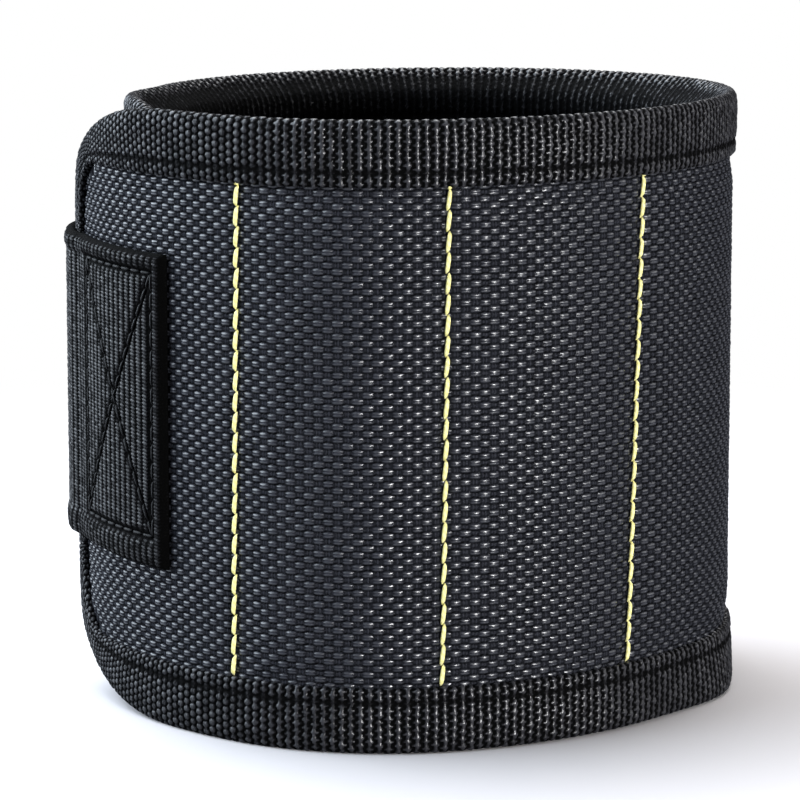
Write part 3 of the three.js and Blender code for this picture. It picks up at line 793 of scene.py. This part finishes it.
def strap_line():
    """The strap's inner line in plan: along the back of the ring, over a cubic curve to the outer tip, along
    the face."""
    back = np.arange(starts[FOLD_2] - STRAP_TIP, starts[FOLD_2] + STRAP_LANDS, LINE_STEP)
    front = np.arange(0, STRAP_SEWN + LINE_STEP / 2, LINE_STEP)
    on_binding = 1 - smooth((front - STEP_DOWN_AT) / STEP_DOWN_LONG)
    step_up = FACE_CLEAR + (BINDING_PROUD - FACE_CLEAR) * on_binding
    a, b = plan(starts[FOLD_2] + STRAP_LANDS, STRAP_FROM), plan(0, BINDING_PROUD)
    reach = np.hypot(*(b - a)) / 3
    leaving = headings[FOLD_2] + STRAP_LANDS / radii[FOLD_2]
    leave = np.array([np.cos(leaving), np.sin(leaving)]) * reach
    land = np.array([np.cos(headings[0]), np.sin(headings[0])]) * reach
    t = np.linspace(0, 1, 400)[1:-1, None]
    free = (1 - t) ** 3 * a + 3 * (1 - t) ** 2 * t * (a + leave) + 3 * (1 - t) * t**2 * (b - land) + t**3 * b
    return np.concatenate([plan(back, STRAP_FROM), free, plan(front, step_up)])


def bend_strap(piece):
    """Bakes the piece's transform into its mesh through bend_between; nothing bends it along the strap's
    line.
    """
    bend_between(piece)


line, strap_walk = even_line(strap_line(), STRAP_STEP)
strap_out = outward(line)
strap_long = strap_walk[-1]
print("strap length in mm:", round(strap_long, 1))

# %% Webbing and its sewn box
# The webbing's hollow colour is painted shade between its beads.
STRAP_WEBBING = nylon(
    "strap_webbing", (0.0003, 0.0003, 0.0003), (0.0075, 0.0075, 0.009), (3, 6, 1),
    relief=1.0, shine=0.58, polish=0.32)
RIB, RIB_STEPS, STRAP_BEAD, BEAD_ROWS = 1.6, 5, 0.527, 4
BOX_NEAR, BOX_FAR, BOX_LOW, BOX_TOP = 17.0, 39.3, -18.4, 20.1
SEWN_HALF = 0.62
tip_walk = strap_long - STRAP_SEWN
box_corner = np.array([[BOX_NEAR, BOX_LOW], [BOX_FAR, BOX_LOW], [BOX_FAR, BOX_TOP], [BOX_NEAR, BOX_TOP]])
box_lines = [(box_corner[i], box_corner[j]) for i, j in ((0, 1), (1, 2), (2, 3), (3, 0), (0, 2), (1, 3))]


def sewn_depth(walk, z):
    """Share of the furrow under the sewn box and its cross: a bell curve of the distance to the nearest
    line."""
    place = np.stack(np.broadcast_arrays(walk - tip_walk, z), -1)
    near = np.full(place.shape[:-1], 99.0)
    for a, b in box_lines:
        t = np.clip((place - a) @ (b - a) / ((b - a) @ (b - a)), 0, 1)
        near = np.minimum(near, np.hypot(*np.moveaxis(place - a - t[..., None] * (b - a), -1, 0)))
    return np.exp(-(near / SEWN_HALF) ** 2)


def webbing(walk, z):
    """Share of the webbing's height: small domes, the root of 1 - r^4, in level rows that lean a little in
    each column."""
    u, v, luck = columns(walk, z, RIB, STRAP_BEAD, 0.0, 0.25)
    return np.sqrt(np.clip(1 - (u**2 + 0.94 * v**2) ** 2, 0, 1)) * (0.65 + 0.35 * luck)


def hem_share(walk, z):
    """Share of the raised hem outside the sewn box: half a wave from the box's line to the strap's edge, on
    three sides."""
    half = STRAP_WIDTH / 2
    past = np.maximum.reduce(np.broadcast_arrays(
        (walk - tip_walk - BOX_FAR) / (STRAP_SEWN - BOX_FAR),
        (z - BOX_TOP) / (half - BOX_TOP),
        (BOX_LOW - z) / (half + BOX_LOW)))
    arch = np.sin(np.pi * np.clip(0.08 + past * 0.84, 0, 1))
    return arch * smooth((past - 0.02) / 0.2) * smooth((walk - tip_walk - 1) / 4)


print("lines of the sewn box:", len(box_lines))

# %% Strap pieces
EDGE, FLAT_SHIFT = 0.5, 30
RIB_RISE, RIB_SUNK, HEM_RISE, SEWN_SUNK, END_ROLL = 0.3, 0.2, 0.45, 0.3, 0.8


def strap_piece(name, first, last):
    """Rings of the webbing: beaded rows up the outside, a rounded edge, and a plain back. The end of the
    strap rolls down as a quarter circle."""
    half = STRAP_WIDTH / 2
    out_z = np.arange(-half + EDGE, half - EDGE + 0.05, STRAP_BEAD / BEAD_ROWS)
    beaded = len(out_z)
    turn = np.linspace(0, np.pi, 6)[1:-1]
    upper, lower = half - EDGE + EDGE * np.sin(turn), EDGE - half - EDGE * np.sin(turn)
    z = np.concatenate([out_z, upper, [half - 0.6, 0, 0.6 - half], lower])
    n = np.concatenate([np.ones(beaded), 0.5 + 0.5 * np.cos(turn), [0, 0, 0], 0.5 - 0.5 * np.cos(turn)])
    walk = strap_walk[first:last, None]
    to_end = (strap_long - walk) / END_ROLL
    sewn, hem = sewn_depth(walk, out_z), hem_share(walk, out_z)
    rib_place = np.arange(first, last)[:, None] * RIB / RIB_STEPS
    grains = webbing(rib_place, np.arange(beaded)[None, :] * STRAP_BEAD / BEAD_ROWS)
    ribs = np.zeros((len(walk), len(z)))
    # ribs sets both relief and colour: it falls to nearly nothing along the sewn lines and to 0.55 at the
    # strap's end, which is painted shade in the furrows and on the rolled end, and it is a fifth lower on the
    # hem.
    ribs[:, :beaded] = grains * (1 - 0.95 * sewn) * (1 - 0.2 * hem) * (0.55 + 0.45 * smooth(to_end / 0.5))
    out = n[None, :] * STRAP_THICKNESS + RIB_RISE * ribs - RIB_SUNK
    out[:, :beaded] += HEM_RISE * hem - SEWN_SUNK * sewn
    out = out * (0.15 + 0.85 * np.sqrt(1 - (1 - np.clip(to_end, 0, 1)) ** 2))
    place = line[first:last, None] + strap_out[first:last, None] * out[..., None]
    up = np.broadcast_to(STRAP_MIDDLE + z, ribs.shape)[..., None]
    points = np.concatenate([place, up], -1) * MM
    flat = np.stack(np.broadcast_arrays(walk, z[None, :] + FLAT_SHIFT), -1)
    return shell(name, points, STRAP_WEBBING, flat, crest=ribs, cross=np.ones(ribs.shape))


def line_index(*bodies):
    """Index of the strap line's point that is nearest to the joint between two bodies."""
    place = np.array(joint_of[frozenset(bodies)]["pos_m"][:2]) / MM
    return np.argmin(np.hypot(*(line - place).T))


root_index, fold_index = line_index("outer_end", "strap_span"), line_index("strap_span", "strap_tip")
half_way = (root_index + fold_index) // 2
for name, first, last, bodies, index in (
        ("strap_free_end", 0, half_way + 1, ("strap_tip", "strap_span"), fold_index),
        ("strap_sewn_end", half_way, len(line), ("strap_span", "outer_end"), root_index)):
    piece = strap_piece(name, first, last)
    bend_strap(piece)
    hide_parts(*(("strap_tip", "strap_span") if index == fold_index else ("strap_anchor",)))
    print(name, "faces:", len(piece.data.polygons))

# %% Thread of the sewn box
BOX_THREAD = nylon(
    "box_thread", (0.001, 0.001, 0.001), (0.003, 0.003, 0.0035), (8, 3, 1), shine=0.3, polish=0.45)
BOX_STITCH, BOX_THREAD_HALF, BOX_THREAD_END, BOX_ARCH = 2.6, 0.19, 0.06, 0.06


def along_strap(values, walk):
    """A value of each coordinate at any length walked along the strap, read between the line's points."""
    return np.stack([np.interp(walk, strap_walk, values[:, c]) for c in (0, 1)], -1)


def box_thread():
    """Short black stitches along the lines of the box and its cross, each a small closed thread that arches
    and sinks."""
    ring = np.linspace(0, 2 * np.pi, 6, endpoint=False)
    t = np.linspace(-1, 1, 6)
    size = BOX_THREAD_HALF * (1 - t**6) ** 0.5 + BOX_THREAD_END
    arch = (BOX_ARCH * (1 - t**4))[:, None]
    lift = STRAP_THICKNESS - SEWN_SUNK + arch + size[:, None] * np.sin(ring)
    ones, zeros = np.ones(lift.shape), np.zeros(lift.shape)
    parts = []
    for a, b in box_lines:
        count = int(np.hypot(*(b - a)) / BOX_STITCH)
        across = np.array([a[1] - b[1], b[0] - a[0]]) / np.hypot(*(b - a))
        for i in range(count):
            middle = a + (b - a) * (i + 0.5 + 0.47 * t[:, None]) / count
            flat = middle[:, None] + across * (size[:, None, None] * np.cos(ring)[None, :, None])
            walk = flat[..., 0] + tip_walk
            place = along_strap(line, walk) + along_strap(strap_out, walk) * lift[..., None]
            points = np.concatenate([place, (STRAP_MIDDLE + flat[..., 1])[..., None]], -1) * MM
            stitch = shell("box_thread_part", points, BOX_THREAD, flat + FLAT_SHIFT, crest=ones, cross=zeros)
            parts.append(stitch)
    count = len(parts)
    return joined(parts, "strap_box_thread"), count


thread, count = box_thread()
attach(thread, "outer_end")
print("box stitches:", count)

# %% [markdown]
# ## Hook and loop
# The loop tape on the back is a brushed pile. The hook tape on the strap faces it, and the two lie together
# while the band is closed. Single hooks could be modelled, but the tape shows only when the strap is open,
# so it is a plain base.

# %% Loop tape and hook tape
TAPE_WIDTH, TAPE_GRID, HOOK_BASE = 42.0, 0.5, 0.5
LOOP_BEFORE, LOOP_AFTER, HOOK_INSET = 30, 31, 2
LOOP_TAPE = nylon("loop_tape", (0.001, 0.001, 0.001), (0.01, 0.01, 0.011), (4, 4, 1), relief=1.0, dull=1.0)
HOOK_TAPE = nylon("hook_tape", (0.002, 0.002, 0.002), (0.006, 0.006, 0.007), (3, 3, 1))


def tape_rings(s, base, thickness, pile):
    """A flat tape on the band: rows up its outer side lifted by the pile, and a plain back."""
    z = np.arange(-TAPE_WIDTH / 2, TAPE_WIDTH / 2 + 0.01, TAPE_GRID)
    back = np.array([TAPE_WIDTH / 2, -TAPE_WIDTH / 2])
    rows = np.concatenate([z, back]) + STRAP_MIDDLE
    lift = np.concatenate([thickness + pile(s[:, None], z[None, :]), np.zeros((len(s), 2))], 1)
    grid = np.broadcast_to(s[:, None], lift.shape)
    height = np.broadcast_to(rows, lift.shape)
    return band(grid, base + lift, height), np.stack([grid, height], -1), lift


def fluff(s, z):
    """Small uneven lift of the brushed pile, a fixed random share for each point."""
    return -0.2 * chance(np.round(s * 3), np.round(z * 3))


def bare(s, z):
    """No pile: 0 at every point."""
    return np.zeros(np.broadcast(s, z).shape)


loop_at = np.arange(starts[FOLD_2] - LOOP_BEFORE, starts[FOLD_2] + LOOP_AFTER, TAPE_GRID)
points, flat, lift = tape_rings(loop_at, LAYER_GAP, LOOP_THICKNESS, fluff)
crest = (lift - 0.9) / 0.3
loop = shell("loop_tape_pile", points, LOOP_TAPE, flat, crest=crest, cross=np.zeros(lift.shape))
bend_at(loop)
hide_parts("loop_tape_fold_1", "loop_tape_fold_2")

hook_at = np.arange(starts[FOLD_2] - STRAP_TIP + HOOK_INSET, starts[FOLD_2] + STRAP_LANDS, TAPE_GRID)
points, flat, lift = tape_rings(hook_at, HOOK_FROM + HOOK_THICKNESS - HOOK_BASE, HOOK_BASE, bare)
hook = shell("hook_tape_base", points, HOOK_TAPE, flat, crest=lift, cross=np.zeros(lift.shape))
bend_strap(hook)
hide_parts("hook_tape_span", "hook_tape_tip")
print("loop tape and hook tape, faces:", len(loop.data.polygons), len(hook.data.polygons))

# %% [markdown]
# ## Magnets
# The disc magnets stay inside their pockets, out of sight. Their CAD solids are already right, so they only
# get a nickel finish with an uneven polish.

# %% Nickel
nickel = bpy.data.materials.new("nickel_plate")
nickel.use_nodes = True
tree = nickel.node_tree
plate = tree.nodes["Principled BSDF"]
plate.inputs["Metallic"].default_value = 1.0
plate.inputs["Base Color"].default_value = (0.62, 0.6, 0.56, 1)
place, grain, spread = (tree.nodes.new("ShaderNode" + n) for n in ("TexCoord", "TexNoise", "MapRange"))
grain.inputs["Scale"].default_value = 900.0
spread.inputs["To Min"].default_value = 0.18
spread.inputs["To Max"].default_value = 0.4
tree.links.new(place.outputs["Object"], grain.inputs["Vector"])
tree.links.new(grain.outputs["Fac"], spread.inputs["Value"])
tree.links.new(spread.outputs["Result"], plate.inputs["Roughness"])
magnets = [node for name, node in frame["nodes"].items() if name.startswith("magnet")]
for node in magnets:
    node.data.materials.clear()
    node.data.materials.append(nickel)
print("magnets:", len(magnets))

# %% [markdown]
# ## Floor, light and camera
# The photograph is a studio picture on white. A wide pale floor keeps the soft contact shadow, and the world
# shows white to the camera. Soft lamps stand to the left, to the right and above, and a small one in front
# gives the weave its glints.

# %% Floor
FLOOR_HALF = 6
floor_mesh = bpy.data.meshes.new("floor")
floor_corners = [(x * FLOOR_HALF, y * FLOOR_HALF, 0) for x, y in ((-1, -1), (1, -1), (1, 1), (-1, 1))]
floor_mesh.from_pydata(floor_corners, [], [(0, 1, 2, 3)])
floor = bpy.data.objects.new("floor", floor_mesh)
bpy.context.scene.collection.objects.link(floor)


def floor_material():
    """Pale paper that keeps the shadow near the band and shows plain white to the camera further off. To all
    other rays it is dark grey, so that it throws little light back at the band."""
    paper = bpy.data.materials.new("white_floor")
    paper.use_nodes = True
    nodes, links = paper.node_tree.nodes, paper.node_tree.links
    shader = nodes["Principled BSDF"]
    shader.inputs["Roughness"].default_value = 0.4
    paper_tone = nodes.new("ShaderNodeMix")
    paper_tone.data_type = "RGBA"
    paper_tone.inputs["A"].default_value = (0.12, 0.12, 0.13, 1)
    paper_tone.inputs["B"].default_value = (0.74, 0.71, 0.72, 1)
    place, away, fade = (nodes.new("ShaderNode" + n) for n in ("TexCoord", "VectorMath", "MapRange"))
    seen, both = nodes.new("ShaderNodeLightPath"), nodes.new("ShaderNodeMath")
    glow, mix = nodes.new("ShaderNodeEmission"), nodes.new("ShaderNodeMixShader")
    away.operation = "LENGTH"
    both.operation = "MULTIPLY"
    fade.interpolation_type = "SMOOTHSTEP"
    fade.inputs["From Min"].default_value = 0.1
    fade.inputs["From Max"].default_value = 0.3
    links.new(seen.outputs["Is Camera Ray"], paper_tone.inputs["Factor"])
    links.new(paper_tone.outputs["Result"], shader.inputs["Base Color"])
    links.new(place.outputs["Object"], away.inputs[0])
    links.new(away.outputs["Value"], fade.inputs["Value"])
    links.new(fade.outputs["Result"], both.inputs[0])
    links.new(seen.outputs["Is Camera Ray"], both.inputs[1])
    links.new(both.outputs["Value"], mix.inputs["Fac"])
    links.new(shader.outputs["BSDF"], mix.inputs[1])
    links.new(glow.outputs["Emission"], mix.inputs[2])
    links.new(mix.outputs["Shader"], nodes["Material Output"].inputs["Surface"])
    return paper


floor_mesh.materials.append(floor_material())
print("floor:", 2 * FLOOR_HALF, "m wide")

# %% World
world = bpy.data.worlds.new("studio")
bpy.context.scene.world = world
world.use_nodes = True
tree = world.node_tree
ground = tree.nodes["Background"]
ground.inputs["Color"].default_value = (1, 1, 1, 1)
ground.inputs["Strength"].default_value = 0.05
white, route, mix = (tree.nodes.new("ShaderNode" + n) for n in ("Background", "LightPath", "MixShader"))
white.inputs["Strength"].default_value = 1.0
tree.links.new(route.outputs["Is Camera Ray"], mix.inputs["Fac"])
tree.links.new(ground.outputs["Background"], mix.inputs[1])
tree.links.new(white.outputs["Background"], mix.inputs[2])
tree.links.new(mix.outputs["Shader"], tree.nodes["World Output"].inputs["Surface"])
print("world:", world.name)

# %% Lamps
def soft_lamp(name, place, size, power, tint=(1, 1, 1)):
    """A lamp of the given width and height that faces the middle of the band."""
    light = bpy.data.lights.new(name, "AREA")
    light.shape, light.energy, light.color = "RECTANGLE", power, tint
    light.size, light.size_y = size
    lamp = bpy.data.objects.new(name, light)
    lamp.location = place
    aim = np.array([0, 0, MIDDLE * MM]) - np.array(place)
    flat = np.hypot(aim[0], aim[1])
    lamp.rotation_euler = (np.pi / 2 + np.arctan2(aim[2], flat), 0, np.arctan2(-aim[0], aim[1]))
    bpy.context.scene.collection.objects.link(lamp)


soft_lamp("lamp_left", (-0.62, 0.12, 0.48), (1.3, 1.1), 26, (0.8, 0.9, 1.0))
soft_lamp("lamp_front", (0.42, -0.72, 0.08), (0.24, 0.1), 8.5)
soft_lamp("lamp_right", (0.9, 0.0, 0.35), (0.5, 0.5), 2.5)
soft_lamp("lamp_above", (0, 0.45, 1.0), (0.9, 0.9), 16)
print("lamps:", len(bpy.data.lights))

# %% Camera
LOOKS_DOWN = 9.112
camera = bpy.data.cameras.new("camera")
camera.lens, camera.sensor_width = 182.2, 36.0
eye = bpy.data.objects.new("camera", camera)
eye.location = (0.0001, -0.6071, 0.14034)
eye.rotation_euler = (np.radians(90 - LOOKS_DOWN), 0, 0)
bpy.context.scene.collection.objects.link(eye)
bpy.context.scene.camera = eye
bpy.context.scene.view_settings.view_transform = "Standard"
print("camera looks down by", LOOKS_DOWN, "degrees")
